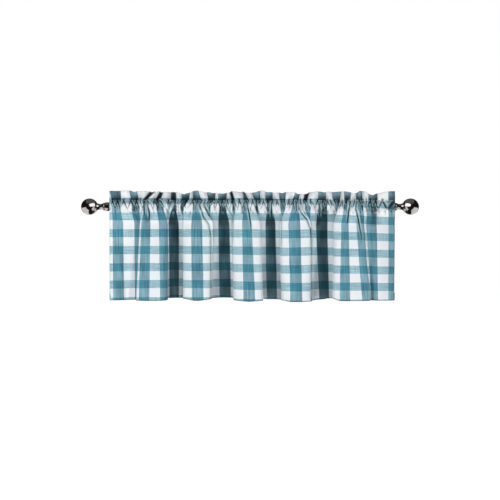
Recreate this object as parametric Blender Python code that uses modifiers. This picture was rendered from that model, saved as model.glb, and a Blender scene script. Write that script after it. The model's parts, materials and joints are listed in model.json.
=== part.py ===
"""Gathered gingham window valance on its curtain rod with ball finials.

Axes: X runs along the rod, the front faces -Y and +Z is up. The origin is on the
rod's axis, midway between the finials. The cloth is one folded sheet: it starts
behind the rod, rises to the header seam, turns over at the top of the header, comes
down in front of the rod to the lower seam and hangs to the hem.
"""
from collections import namedtuple

import bmesh
import bpy
import numpy as np

MM = 0.001

# The striped cloth, measured across in stripes: even stripes are white, odd are blue
STRIPE_WIDTH = 38.1 * MM
FIRST_STRIPE = 0.71
LAST_STRIPE = 43.55
COLUMNS_PER_STRIPE = 3
SHEET_THICKNESS = 1.5 * MM
LAYER_GAP = 3.8 * MM

# Heights above the rod's axis
HEADER_SEAM_Z = 22.0 * MM
LOWER_SEAM_Z = -20.0 * MM
FACING_END_Z = -18.0 * MM
FACING_END_Y = 7.0 * MM
FOLDS_FORMED_Z = -62.0 * MM
HEM_Z = -304.0 * MM
MIDDLE_DROP_Z = -183.0 * MM
UPPER_DROP_Z = -40.0 * MM

# Depths of the folds: half of front to back, just under the pocket and at the hem
FOLD_HALF_DEPTH_TOP = 13.0 * MM
FOLD_HALF_DEPTH_HEM = 40.0 * MM
GATHER_AT_TOP = 0.6
LONGEST_HANDLE = 2.0
EYE_DISTANCE = 2.2
LOWEST_FOLD_STRIPE = 29.5
LOWEST_FOLD_SAG = 4.0 * MM
LOWEST_FOLD_SPREAD = 6.0

# The rod and its finials
ROD_RADIUS = 14.0 * MM
ROD_HALF_LENGTH = 461.0 * MM
FIT_GAP = 0.3 * MM
BALL_RADIUS = 27.5 * MM
BALL_CENTRE = 531.0 * MM
BALL_FLAT = 24.0 * MM
NECK_FLANGE_RADIUS = 12.0 * MM
NECK_WAIST_RADIUS = 9.5 * MM
NECK_BEAD_RADIUS = 13.2 * MM
NECK_COLLAR_RADIUS = 14.8 * MM
BEAD_ROUNDING = 0.75 * MM
TURN_STEPS = 32
BALL_ARC_STEPS = 14

# The pocket round the rod: its rows stand at these angles from the top, far enough out
# that the flats between two rows clear the rod, and the ease lets the ridges swell
POCKET_ANGLES = (48.0, 90.0, 135.0)
FLAT_HALF_ANGLE = np.radians(22.5)
POCKET_CLEARANCE = 0.4 * MM
POCKET_EASE = 5.0 * MM
COLLAR_MARGIN = 16.0 * MM

# One row for each turn of the hanging folds: the place across the cloth in stripes, x
# as seen from the front at the height where the folds are formed and at the hem, and
# how far back it lies, from -1 on a ridge to 1 in a trough
Fold = namedtuple("Fold", "stripe top_x hem_x level")
FOLDS = (
    Fold(0.71, -462, -464, -0.70),
    Fold(3.30, -361, -371, -0.30),
    Fold(5.50, -344, -350, -1.00),
    Fold(7.20, -296, -290, -1.00),
    Fold(9.50, -256, -254, 0.90),
    Fold(13.5, -177, -174, -1.00),
    Fold(17.5, -87, -83, 1.00),
    Fold(21.5, -10, -2, -1.00),
    Fold(25.5, 69, 73, 1.00),
    Fold(29.5, 148, 154, -1.00),
    Fold(33.5, 238, 246, 1.00),
    Fold(37.6, 320, 319, -1.00),
    Fold(39.2, 358, 378, -1.00),
    Fold(40.6, 382, 392, 0.20),
    Fold(42.3, 430, 430, -0.90),
    Fold(43.55, 479, 477, -0.70),
)

# One row for each stripe in the gathered header, from the left edge: the width that
# shows between its neighbours, and the height of the header's top there
HEADER_LEFT_X = -465.0 * MM
HeaderPleat = namedtuple("HeaderPleat", "width top")
HEADER = (
    HeaderPleat(2.5, 51), HeaderPleat(35.5, 50), HeaderPleat(30, 51), HeaderPleat(26.5, 49),
    HeaderPleat(33, 48), HeaderPleat(10, 47), HeaderPleat(23, 48), HeaderPleat(13, 48),
    HeaderPleat(30, 47), HeaderPleat(16.5, 47), HeaderPleat(16.5, 45), HeaderPleat(30, 41),
    HeaderPleat(8, 47), HeaderPleat(25, 52), HeaderPleat(23, 47), HeaderPleat(28, 44),
    HeaderPleat(8, 43), HeaderPleat(30, 43), HeaderPleat(10, 43), HeaderPleat(11.5, 49),
    HeaderPleat(31.5, 48), HeaderPleat(11.5, 46), HeaderPleat(20, 44), HeaderPleat(26.5, 48),
    HeaderPleat(15, 51), HeaderPleat(26.5, 46), HeaderPleat(20, 45), HeaderPleat(23, 44),
    HeaderPleat(28, 47), HeaderPleat(18, 40), HeaderPleat(13, 39), HeaderPleat(15, 42),
    HeaderPleat(31.5, 48), HeaderPleat(26.5, 48), HeaderPleat(20, 48), HeaderPleat(30, 47),
    HeaderPleat(10, 48), HeaderPleat(23, 48), HeaderPleat(16.5, 41), HeaderPleat(21.5, 49),
    HeaderPleat(18, 48), HeaderPleat(31.5, 37), HeaderPleat(35, 46), HeaderPleat(23, 50),
)
PLEAT_FULLNESS = 0.42
PLEAT_STEEPEST = 0.45

# Part of the pleats' depth that is left at the rod and at the lower seam
PLEAT_AT_ROD = 0.6
PLEAT_AT_LOWER_SEAM = 0.5

# Where the hanging folds take over from the header's pleats: none at the header seam,
# all of it where the folds are formed
FOLD_SHARE_HEIGHTS = (FOLDS_FORMED_Z, LOWER_SEAM_Z, 0.0, HEADER_SEAM_Z)
FOLD_SHARES = (1.0, 0.55, 0.25, 0.0)
PLEAT_SCALE_HEIGHTS = (LOWER_SEAM_Z, 0.0, HEADER_SEAM_Z)
PLEAT_SCALES = (PLEAT_AT_LOWER_SEAM, PLEAT_AT_ROD, 1.0)


def cloth_columns():
    """Places across the cloth, in stripes, with both side edges."""
    inner = np.arange(1, int(LAST_STRIPE) + 1, 1.0 / COLUMNS_PER_STRIPE)
    inner = inner[(inner > FIRST_STRIPE) & (inner < LAST_STRIPE)]
    return np.concatenate(([FIRST_STRIPE], inner, [LAST_STRIPE]))


def header_plan(stripes):
    """X and Y of the header's pleats: white stripes swell forward, blue ones tuck back.

    A stripe that shows less of its width than the cloth has is bent into a half wave,
    whose depth follows from what is hidden.
    """
    widths = np.array([pleat.width for pleat in HEADER]) * MM
    edges = np.concatenate(([FIRST_STRIPE], np.arange(1, len(HEADER)), [LAST_STRIPE]))
    edge_x = HEADER_LEFT_X + np.concatenate(([0.0], np.cumsum(widths)))
    hidden = np.sqrt(np.maximum(STRIPE_WIDTH ** 2 - widths ** 2, 0.0))
    depth = np.minimum(PLEAT_FULLNESS * hidden, PLEAT_STEEPEST * widths)
    number = np.minimum(stripes.astype(int), len(HEADER) - 1)
    side = np.where(number % 2 == 0, -1.0, 1.0)
    along = (stripes - edges[number]) / (edges[number + 1] - edges[number])
    return np.interp(stripes, edges, edge_x), side * depth[number] * np.sin(np.pi * along)


def header_top(stripes):
    """Height of the header's top along the cloth."""
    middles = np.arange(len(HEADER)) + 0.5
    return np.interp(stripes, middles, [pleat.top for pleat in HEADER]) * MM


def bezier(start, end, handle, steps=120):
    """Cubic curve between two turns of the cloth, level in Y at both ends."""
    t = np.linspace(0.0, 1.0, steps)[:, None]
    first = start + np.array([handle, 0.0])
    last = end - np.array([handle, 0.0])
    return (
        (1 - t) ** 3 * start
        + 3 * (1 - t) ** 2 * t * first
        + 3 * (1 - t) * t ** 2 * last
        + t ** 3 * end
    )


def running_length(points):
    """Length along a line of points, from its first point."""
    pieces = np.hypot(*np.diff(points, axis=0).T)
    return np.concatenate(([0.0], np.cumsum(pieces)))


def bend_of_length(start, end, length):
    """The curve between two turns that is as long as the cloth between them.

    Its handles stay short where the two turns lie at nearly the same depth, so that a
    fold never lies flat on itself.
    """
    low = 0.0
    high = (end[0] - start[0]) / 2 + LONGEST_HANDLE * abs(end[1] - start[1])
    for _ in range(40):
        handle = (low + high) / 2
        if running_length(bezier(start, end, handle))[-1] < length:
            low = handle
        else:
            high = handle
    return bezier(start, end, low)


def fold_plan(stripes, seen_x, half_depth, gathered):
    """X and Y of the hanging folds at one height.

    seen_x is the Fold column with the places seen from the front. A point nearer the
    eye looks farther out, so it is drawn back in. gathered is the share of the spare
    cloth that the folds take up there; fine puckers take the rest.
    """
    x = np.empty_like(stripes)
    y = np.empty_like(stripes)
    for left, right in zip(FOLDS[:-1], FOLDS[1:]):
        ends = []
        for fold in (left, right):
            depth = fold.level * half_depth
            ends.append(np.array([getattr(fold, seen_x) * MM * (1 + depth / EYE_DISTANCE), depth]))
        straight = np.hypot(*(ends[1] - ends[0]))
        cloth = (right.stripe - left.stripe) * STRIPE_WIDTH
        length = straight + max(cloth - straight, 0.0) * gathered
        curve = bend_of_length(ends[0], ends[1], length)
        share = running_length(curve)
        share /= share[-1]
        here = (stripes >= left.stripe) & (stripes <= right.stripe)
        place = (stripes[here] - left.stripe) / (right.stripe - left.stripe)
        x[here] = np.interp(place, share, curve[:, 0])
        y[here] = np.interp(place, share, curve[:, 1])
    return x, y


def sheet_row(plans, z, wall_y):
    """One row of the sheet, at height z along the whole width.

    wall_y moves the row to the front or the back layer.
    """
    pleat_x, pleat_y = plans["header"]
    fold_x, fold_y = plans["folds"]
    mean_z = float(np.mean(z))
    share = np.interp(mean_z, FOLD_SHARE_HEIGHTS, FOLD_SHARES)
    scale = np.interp(mean_z, PLEAT_SCALE_HEIGHTS, PLEAT_SCALES)
    x = (1 - share) * pleat_x + share * fold_x
    y = (1 - share) * scale * pleat_y + share * fold_y + wall_y
    return np.stack([x, y, np.broadcast_to(z, x.shape)], axis=1)


def pocket_radius(core_radius):
    """How far from the axis the sheet's middle lies where it hugs a round core."""
    return (core_radius + POCKET_CLEARANCE + SHEET_THICKNESS / 2) / np.cos(FLAT_HALF_ANGLE)


def pocket_rows(plans, side):
    """The rows round one side of the rod, from the top down; side is -1 in front.

    No row comes nearer to the axis than the rod, or the finials' collars, let it.
    """
    rows = []
    for angle in np.radians(POCKET_ANGLES):
        radius = pocket_radius(ROD_RADIUS)
        wall_y = side * (radius + POCKET_EASE) * np.sin(angle)
        row = sheet_row(plans, radius * np.cos(angle), wall_y)
        on_collar = np.abs(row[:, 0]) > ROD_HALF_LENGTH - COLLAR_MARGIN
        core = np.where(on_collar, NECK_COLLAR_RADIUS, ROD_RADIUS)
        nearest = pocket_radius(core) * np.sin(angle)
        row[:, 1] = side * np.maximum(side * row[:, 1], nearest)
        rows.append(row)
    return rows


def cloth_rows():
    """All rows of the sheet's middle surface, from the end behind the rod to the hem."""
    stripes = cloth_columns()
    top = fold_plan(stripes, "top_x", FOLD_HALF_DEPTH_TOP, GATHER_AT_TOP)
    hem = fold_plan(stripes, "hem_x", FOLD_HALF_DEPTH_HEM, 1.0)
    plans = {"header": header_plan(stripes), "folds": top}
    half = LAYER_GAP / 2
    crown = header_top(stripes)
    rows = [sheet_row(plans, FACING_END_Z, FACING_END_Y)]
    rows += reversed(pocket_rows(plans, 1))
    rows.append(sheet_row(plans, HEADER_SEAM_Z, half))
    rows.append(sheet_row(plans, crown, half))
    rows.append(sheet_row(plans, crown, -half))
    rows.append(sheet_row(plans, HEADER_SEAM_Z, -half))
    rows += pocket_rows(plans, -1)
    rows.append(sheet_row(plans, LOWER_SEAM_Z, -half))
    rows.append(sheet_row(plans, UPPER_DROP_Z, -half))
    sag = LOWEST_FOLD_SAG * np.exp(-((stripes - LOWEST_FOLD_STRIPE) / LOWEST_FOLD_SPREAD) ** 2)
    for z in (FOLDS_FORMED_Z, MIDDLE_DROP_Z, HEM_Z):
        down = (z - FOLDS_FORMED_Z) / (HEM_Z - FOLDS_FORMED_Z)
        x = (1 - down) * top[0] + down * hem[0]
        y = (1 - down) * (top[1] - half) + down * hem[1]
        rows.append(np.stack([x, y, z - sag * down], axis=1))
    return rows


def make_material(name, colour, roughness, metallic):
    """A plain Principled material."""
    material = bpy.data.materials.new(name)
    material.use_nodes = True
    shader = material.node_tree.nodes["Principled BSDF"]
    shader.inputs["Base Color"].default_value = (*colour, 1.0)
    shader.inputs["Roughness"].default_value = roughness
    shader.inputs["Metallic"].default_value = metallic
    material.diffuse_color = (*colour, 1.0)
    return material


def make_valance(collection, material):
    """The whole cloth as one loft through its rows, given its thickness by Solidify."""
    rows = cloth_rows()
    body = bmesh.new()
    grid = [[body.verts.new(point) for point in row] for row in rows]
    for upper, lower in zip(grid[:-1], grid[1:]):
        for column in range(len(upper) - 1):
            corners = (upper[column], lower[column], lower[column + 1], upper[column + 1])
            body.faces.new(corners)
    mesh = bpy.data.meshes.new("valance_panel")
    body.to_mesh(mesh)
    body.free()
    mesh.shade_smooth()
    mesh.materials.append(material)
    panel = bpy.data.objects.new("valance_panel", mesh)
    collection.objects.link(panel)
    shell = panel.modifiers.new("cloth thickness", "SOLIDIFY")
    shell.thickness = SHEET_THICKNESS
    shell.offset = 0.0
    shell.use_rim = True
    return panel


def make_rod(collection, material):
    """The plain round rod, from finial to finial."""
    bpy.ops.mesh.primitive_cylinder_add(
        vertices=TURN_STEPS, radius=ROD_RADIUS, depth=2 * ROD_HALF_LENGTH,
        rotation=(0.0, np.pi / 2, 0.0),
    )
    rod = bpy.context.object
    rod.name = "rod"
    rod.data.name = "rod"
    for old in list(rod.users_collection):
        old.objects.unlink(rod)
    collection.objects.link(rod)
    rod.data.materials.append(material)
    return rod


def make_turned(collection, name, profile, side, centre_x, material):
    """A solid turned round the rod's axis from (radius, distance) points.

    The distances run from the finial's outer end towards the rod. The profile stands on
    local Z, which is laid along X and points outwards on that side.
    """
    mesh = bpy.data.meshes.new(name)
    points = [(radius, 0.0, -distance) for radius, distance in profile]
    edges = [(number, number + 1) for number in range(len(points) - 1)]
    mesh.from_pydata(points, edges, [])
    mesh.materials.append(material)
    turned = bpy.data.objects.new(name, mesh)
    turned.location = (side * centre_x, 0.0, 0.0)
    turned.rotation_euler = (0.0, side * np.pi / 2, 0.0)
    collection.objects.link(turned)
    screw = turned.modifiers.new("turned", "SCREW")
    screw.axis = "Z"
    screw.steps = TURN_STEPS
    screw.render_steps = TURN_STEPS
    screw.use_merge_vertices = True
    screw.merge_threshold = 0.01 * MM
    return turned


def ball_profile():
    """The ball from its outer pole to the flat that sits on the neck."""
    flat_angle = np.arccos(-BALL_FLAT / BALL_RADIUS)
    angles = np.linspace(0.0, flat_angle, BALL_ARC_STEPS)
    profile = [(BALL_RADIUS * np.sin(angle), -BALL_RADIUS * np.cos(angle)) for angle in angles]
    profile[0] = (0.0, -BALL_RADIUS)
    profile.append((0.0, BALL_FLAT))
    return profile


def neck_profile():
    """Flange, waist, bead and collar, as distances inward from the ball's centre."""
    flange = BALL_FLAT + FIT_GAP
    collar_end = BALL_CENTRE - ROD_HALF_LENGTH - FIT_GAP
    outline = (
        (0.0, flange),
        (NECK_FLANGE_RADIUS, flange),
        (NECK_FLANGE_RADIUS, flange + 2 * MM),
        (NECK_WAIST_RADIUS + BEAD_ROUNDING, flange + 6 * MM),
        (NECK_WAIST_RADIUS, flange + 12 * MM),
        (NECK_WAIST_RADIUS, flange + 17 * MM),
        (NECK_BEAD_RADIUS - BEAD_ROUNDING, flange + 21 * MM),
        (NECK_BEAD_RADIUS, flange + 24 * MM),
        (NECK_BEAD_RADIUS - BEAD_ROUNDING, flange + 27 * MM),
        (NECK_COLLAR_RADIUS, flange + 28 * MM),
        (NECK_COLLAR_RADIUS, collar_end),
        (0.0, collar_end),
    )
    return outline


def make_finials(collection, material):
    """A ball and its neck at each end of the rod, mirror images of each other."""
    for side, word in ((-1, "left"), (1, "right")):
        make_turned(collection, "finial_ball_" + word, ball_profile(), side, BALL_CENTRE, material)
        make_turned(collection, "finial_neck_" + word, neck_profile(), side, BALL_CENTRE, material)


def main():
    for old in list(bpy.data.objects):
        bpy.data.objects.remove(old, do_unlink=True)
    collection = bpy.data.collections.new("window_valance_on_rod")
    bpy.context.scene.collection.children.link(collection)
    cloth = make_material("gingham cloth", (0.36, 0.50, 0.55), 0.9, 0.0)
    metal = make_material("dark polished metal", (0.05, 0.05, 0.055), 0.15, 1.0)
    make_valance(collection, cloth)
    make_rod(collection, metal)
    make_finials(collection, metal)


main()
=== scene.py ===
"""Looks of a gathered gingham window valance on its curtain rod with ball finials.

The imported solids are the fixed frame: X runs along the rod, the front faces -Y, +Z is
up, and the origin is on the rod's axis. The cloth is worked out again on the same
folds, finer and thinner, with its gathers, creases, seams and hem. The finials are
turned again with round edges. The rod keeps its solid and gets a finish.
"""

import json
import math
from collections import namedtuple

import bpy
import numpy as np
from bpy.props import FloatProperty, PointerProperty, StringProperty
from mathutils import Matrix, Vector

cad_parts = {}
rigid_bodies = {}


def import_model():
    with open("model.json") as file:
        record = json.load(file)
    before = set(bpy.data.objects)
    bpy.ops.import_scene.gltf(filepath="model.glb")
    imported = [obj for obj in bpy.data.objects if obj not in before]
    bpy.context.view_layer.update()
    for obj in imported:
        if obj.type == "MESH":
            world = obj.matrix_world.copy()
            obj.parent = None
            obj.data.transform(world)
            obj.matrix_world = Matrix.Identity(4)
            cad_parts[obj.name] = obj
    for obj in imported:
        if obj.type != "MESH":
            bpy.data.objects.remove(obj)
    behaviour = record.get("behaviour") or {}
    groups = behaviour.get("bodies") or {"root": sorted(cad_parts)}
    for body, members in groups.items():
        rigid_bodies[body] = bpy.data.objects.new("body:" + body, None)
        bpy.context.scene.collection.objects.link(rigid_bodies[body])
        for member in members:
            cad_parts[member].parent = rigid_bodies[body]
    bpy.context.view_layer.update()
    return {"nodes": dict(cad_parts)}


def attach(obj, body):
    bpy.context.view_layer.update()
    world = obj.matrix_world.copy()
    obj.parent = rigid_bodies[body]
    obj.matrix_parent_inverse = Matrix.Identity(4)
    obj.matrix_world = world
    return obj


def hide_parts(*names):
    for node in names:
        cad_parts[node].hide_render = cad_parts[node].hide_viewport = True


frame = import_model()

bl_info = {
    "name": "Gathered gingham valance",
    "version": (1, 0, 0),
    "blender": (4, 5, 0),
    "location": "3D View > Sidebar > Valance",
    "description": "Hangs a gathered gingham valance on its rod, with finials and a stage",
    "category": "Object",
}

MM = 0.001

# The striped cloth, measured across in stripes: even stripes are white, odd are blue
STRIPE_WIDTH = 38.1 * MM
FIRST_STRIPE = 0.71
LAST_STRIPE = 43.55
SIDE_HEM = 12.0 * MM
HEM_DEPTH = 25.0 * MM
FACING_LENGTH = 50.0 * MM
POCKET_LENGTH = 50.0 * MM
HEADER_LENGTH = 26.0 * MM

# Heights above the rod's axis
HEADER_SEAM_Z = 22.0 * MM
HEADER_MIDDLE_Z = 38.7 * MM
LOWER_SEAM_Z = -20.0 * MM
FOLDS_FORMED_Z = -62.0 * MM
HEM_Z = -304.0 * MM

# Half the distance between the two layers of the header, at a seam and clear of it
LAYER_HALF_GAP = 1.9 * MM
SEAM_HALF_GAP = 0.6 * MM
SEAM_PINCH_REACH = 5.0 * MM

# Depths of the hanging folds: half of front to back, under the pocket and at the hem
FOLD_HALF_DEPTH_TOP = 20.0 * MM
FOLD_HALF_DEPTH_HEM = 40.0 * MM

# How much of the spare cloth lies in the folds under the pocket, how far a fold's curve
# may run straight on from its turn as a share of its depth, how many times the search
# for that length halves its step, and the steps of a curve from one point to the next
GATHER_AT_TOP = 0.6
LONGEST_HANDLE = 2.0
LENGTH_SEARCH_STEPS = 40
CURVE_STEPS = 40

# From the eye to the rod; places given "as seen from the front" are seen from there
EYE_DISTANCE = 2.2

# The hem hangs lowest about one fold, and lower on ridges than in troughs. Its line is
# softened this many times
LOWEST_FOLD_STRIPE = 29.5
LOWEST_FOLD_SAG = 4.0 * MM
LOWEST_FOLD_SPREAD = 6.0
RIDGE_DROOP = 3.0 * MM
HEM_SMOOTHING = 80

# How far the hem is lifted at places across the cloth, in stripes and mm
HEM_LIFTS = (
    (7.8, 0), (8.6, 3.5), (9.2, 0), (11.2, 0), (11.8, 5), (12.5, 4.5), (13.2, 0), (13.6, 0), (14.4, 3),
    (15.2, 4.5), (16.2, 0), (19.0, 0), (19.6, 4), (20.3, 0), (21.4, -2.3), (22.6, 0), (23.2, 0),
    (23.9, 4.5), (24.4, 3), (24.9, -3), (26.4, -3), (27.4, 3.5), (28.4, 3.5), (29.0, 0), (30.5, 0),
    (32.2, -5), (33.5, -3), (34.0, 0), (35.0, 3), (36.1, 6.5), (36.6, 5), (37.0, 0),
)

# The pocket's way down the front and up the back of the rod as (height, distance in
# front of the axis plane) in mm, the round core that it never enters, and how softly it
# leaves it
POCKET_FRONT = ((22, 0.6), (18.5, 4.5), (13, 11), (7, 16), (-1, 18), (-9, 16.5), (-16, 12), (-20, 9))
POCKET_BACK = (
    (-18.5, 7), (-18.5, 0), (-13, -10), (-6, -16), (3, -17.5), (12, -12), (17.5, -5.5), (22, -0.6),
)
CORE_RADIUS = 15.7 * MM
CORE_SOFTNESS = 1.2 * MM

# How far in front of the axis the drop leaves the pocket, and the height over which it
# falls back under the rod
DROP_START = 9.0 * MM
DROP_FALLS_BACK = 44.0 * MM

# One row for each turn of the hanging folds: the place across the cloth in stripes, x
# in mm as seen from the front where the folds are formed and at the hem, and how far
# back it lies, from -1 on a ridge to 1 in a trough
Fold = namedtuple("Fold", "stripe top_x hem_x level")
FOLDS = (
    Fold(0.71, -462, -464, -0.70),
    Fold(3.30, -361, -371, -0.30),
    Fold(5.50, -344, -350, -1.00),
    Fold(7.20, -296, -290, -1.00),
    Fold(9.50, -256, -254, 0.90),
    Fold(13.5, -177, -174, -1.00),
    Fold(17.5, -87, -83, 1.00),
    Fold(21.5, -10, -2, -1.00),
    Fold(25.5, 69, 73, 1.00),
    Fold(29.5, 148, 154, -1.00),
    Fold(33.5, 238, 246, 1.00),
    Fold(37.6, 320, 319, -1.00),
    Fold(39.2, 358, 378, -1.00),
    Fold(40.6, 382, 392, -0.55),
    Fold(42.3, 430, 430, -0.90),
    Fold(43.55, 479, 477, -0.70),
)

# How far the stripes' edges are moved to the right along the folds, at the top and at
# the hem, in mm
Shift = namedtuple("Shift", "stripe top hem")
SHIFTS = (
    Shift(0.71, -3, 0),
    Shift(1, -4, 1),
    Shift(2, -8, 0),
    Shift(3, -10, 2),
    Shift(4, -13, -22),
    Shift(5, -7, 0),
    Shift(6, 0, -1),
    Shift(8, 0, 2),
    Shift(10, 5, 0),
    Shift(13, -2, 1),
    Shift(14, 2, 1),
    Shift(15, 8, 0),
    Shift(16, 2, 0),
    Shift(17, -2, 1),
    Shift(18, 3, 1),
    Shift(19, -8, -12),
    Shift(21, 0, 0),
    Shift(25, -2, 1),
    Shift(26, 0, -2),
    Shift(27, -4, -6),
    Shift(29, -5, -1),
    Shift(30, 2, 0),
    Shift(31, 5, 2),
    Shift(32, 6, 6),
    Shift(33, -4, 2),
    Shift(34, 3, -3),
    Shift(35, 6, -2),
    Shift(37, 1, 1),
    Shift(38, -3, -2),
    Shift(39, -1, 0),
    Shift(40, 9, 9),
    Shift(41, -9, -2),
    Shift(42, -2, 2),
    Shift(43, 1, 1),
    Shift(43.55, 0, 0),
)

# One row for each stripe where it is gathered: x in mm of its left edge as seen from
# the front in the middle of the header and over the rod, how far its top leans to the
# right, how far back its middle lies, and the height of the header's top there
Stripe = namedtuple("Stripe", "header pocket lean depth crown")
STRIPES = (
    Stripe(-465, -465, 0, 0, 51),
    Stripe(-463, -457, -7, 1, 50),
    Stripe(-427, -429, 0, -4, 51),
    Stripe(-397, -391, -6, 3, 49),
    Stripe(-371, -367, -5, -9, 48),
    Stripe(-341, -351, 23, 17, 47),
    Stripe(-325, -334, 28, -8, 48),
    Stripe(-305, -310, 13, 17, 48),
    Stripe(-291, -285, 8, -9, 47),
    Stripe(-262, -260, 0, 16, 47),
    Stripe(-245, -245, -3, -7, 45),
    Stripe(-228, -232, -2, 5, 41),
    Stripe(-199, -219, 3, -7, 47),
    Stripe(-190, -189, 0, 7, 52),
    Stripe(-166, -166, -8, -7, 47),
    Stripe(-142, -149, -6, 5, 44),
    Stripe(-114, -131, 0, -6, 43),
    Stripe(-106, -103, 3, 4, 43),
    Stripe(-76, -79, 4, -7, 43),
    Stripe(-66, -60, -8, 16, 49),
    Stripe(-55, -45, -8, -8, 48),
    Stripe(-23, -22, -4, 10, 46),
    Stripe(-12, -7, -12, -7, 44),
    Stripe(8, 20, -12, 5, 48),
    Stripe(35, 28, 0, -8, 51),
    Stripe(50, 56, 0, 8, 46),
    Stripe(76, 74, 0, -7, 45),
    Stripe(96, 101, -3, 7, 44),
    Stripe(119, 119, 3, -5, 47),
    Stripe(147, 137, 8, 6, 40),
    Stripe(165, 162, 6, -7, 39),
    Stripe(179, 180, 4, 16, 42),
    Stripe(194, 200, 8, -9, 48),
    Stripe(225, 225, 0, 9, 48),
    Stripe(252, 255, 0, -7, 48),
    Stripe(271, 285, -4, 5, 47),
    Stripe(301, 290, 4, -6, 48),
    Stripe(311, 311, 0, 7, 48),
    Stripe(334, 329, 2, -4, 41),
    Stripe(351, 354, 0, 8, 49),
    Stripe(372, 376, -2, -7, 48),
    Stripe(391, 387, 2, 5, 37),
    Stripe(422, 420, 0, -5, 46),
    Stripe(457, 457, 0, 0, 50),
)
GATHERED_RIGHT_X = 480

# How much of the hanging folds' and of the gathered stripes' depth is there, by height
SHARE_HEIGHTS = (-80 * MM, -45 * MM, -20 * MM, 0.0, 22 * MM)
FOLD_SHARE = (1.0, 0.7, 0.35, 0.1, 0.0)
PLEAT_SHARE = (0.1, 0.2, 0.4, 0.55, 1.0)

# Creases in the front, each a line of (x as seen from the front, height, depth) in mm.
# A trough has a positive depth and a ridge a negative one
Crease = namedtuple("Crease", "width line")
CREASES = (
    Crease(3.4, ((-298, 21, 5), (-284, 2, 5), (-271, -17, 5), (-269, -30, 0))),
    Crease(3.2, ((-291, 19, -5), (-276, -1, -5), (-267, -16, -2))),
    Crease(3.4, ((-254, 19, -4), (-256, 3, -5), (-264, -13, -3))),
    Crease(3.4, ((-262, 17, 4), (-264, 2, 5), (-269, -14, 6), (-269, -26, 0))),
    Crease(3.6, ((-349, 17, 6), (-350, -18, 5), (-348, -30, 0))),
    Crease(3.2, ((-339, 19, 6), (-338, 0, 5), (-335, -24, 6), (-334, -46, 0))),
    Crease(3.0, ((-187, 14, 5), (-187, -2, 3), (-186, -16, 0))),
    Crease(3.6, ((-166, 12, 2), (-166, -3, 7), (-156, -31, 6), (-137, -57, 5), (-128, -100, 4),
                 (-128, -200, 3), (-128, -304, 3))),
    Crease(3.6, ((-149, 14, 2), (-149, 0, 7), (-140, -18, 6), (-131, -36, 2), (-128, -46, 0))),
    Crease(3.2, ((-86, 16, 3), (-72, -10, 4), (-57, -30, 4), (-57, -90, 2), (-57, -140, 0))),
    Crease(3.6, ((-12, 17, 4), (-8, 0, 8), (-2, -32, 7), (3, -62, 3), (4, -90, 0))),
    Crease(3.2, ((21, 10, 4), (23, 0, 7), (26, -20, 3), (27, -28, 0))),
    Crease(3.4, ((71, 14, 6), (70, -10, 6), (71, -28, 2), (72, -40, 0))),
    Crease(3.0, ((104, -24, 0), (103, -50, 3), (103, -110, 3), (103, -160, 0))),
    Crease(3.4, ((151, 18, 4), (153, 4, 7), (154, -14, 3), (155, -24, 0))),
    Crease(3.6, ((160, -6, 2), (173, -24, 6), (190, -44, 6), (202, -76, 5), (205, -150, 3),
                 (205, -304, 3))),
    Crease(3.2, ((232, 16, 4), (231, -4, 5), (231, -28, 2), (232, -40, 0))),
    Crease(3.0, ((283, 2, 1), (284, -14, 4), (284, -28, 0))),
    Crease(3.6, ((330, 18, 4), (328, 0, 8), (325, -30, 6), (322, -56, 0))),
    Crease(3.6, ((355, 17, 5), (351, -6, 8), (358, -38, 7), (368, -90, 4), (372, -150, 0))),
    Crease(3.0, ((384, 14, 1), (385, -4, 4), (386, -28, 0))),
)

# Soft painted shadows of folds too small to model, and painted light where the strength is negative: the
# place across the cloth and the reach to either side in stripes, and the heights in mm
Shadow = namedtuple("Shadow", "stripe reach top bottom strength")
SHADOWS = (
    Shadow(1.5, 0.7, 0, -120, -1.0),
    Shadow(3.4, 0.25, 0, -50, 0.6),
    Shadow(5.8, 0.2, -12, -50, 0.8),
    Shadow(9.5, 0.6, 10, -60, 0.5),
    Shadow(11.5, 0.3, 0, -50, 0.6),
    Shadow(17.5, 0.6, 10, -60, 0.5),
    Shadow(25.5, 0.6, 10, -60, 0.5),
    Shadow(33.1, 0.25, -10, -60, 0.6),
    Shadow(33.5, 0.6, 10, -60, 0.3),
    Shadow(35.2, 0.5, -25, -60, 0.4),
    Shadow(37.8, 0.2, 0, -55, 0.7),
    Shadow(39.3, 0.35, -18, -55, 0.8),
    Shadow(41.5, 0.7, -13, -62, 0.9),
    Shadow(43.2, 0.9, 20, -320, 0.25),
)
SHADOW_SOFTNESS = 14.0 * MM

# Painted shade that makes each blue stripe look rounded away from the light to the right, each by its own
# amount, and their tone wanders up and down
ROUNDING_SHADE = 0.4
MOTTLE_SHADE = 0.3
MOTTLE_STRIPES = 0.7
MOTTLE_LENGTH = 45.0 * MM

# The small puckers that the gathering thread pulls up: their width in stripes and how
# far it wanders, the share of it that is groove at the seam and far from it, the mean of
# their height from 0 to 1, and the part of their reach where they are full
PUCKER_PITCH = 0.66
PUCKER_WANDER = 0.7
PUCKER_WANDER_RATE = 0.45
PUCKER_GROOVE = 0.62
PUCKER_GROOVE_FAR = 0.35
PUCKER_MEAN = 0.6
PUCKER_FULL = 0.45

# Their height, the distance from the seam in which a crease slants by one pucker, how
# far they reach above and below the upper seam, and how unevenly
PUCKER_HEIGHT = 6.5 * MM
PUCKER_SLANT_HEIGHT = 62.0 * MM
PUCKER_FADE_UP = 8.0 * MM
PUCKER_FADE_DOWN = 58.0 * MM
PUCKER_REACH_MEAN = 0.72
PUCKER_REACH_CHANGE = 0.28
PUCKER_REACH_RATE = 0.9

# Those at the lower seam, and how far they are shifted from the upper ones in stripes
LOWER_PUCKER_HEIGHT = 2.2 * MM
LOWER_PUCKER_FADE = 9.0 * MM
LOWER_PUCKER_SHIFT = 0.3

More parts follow.
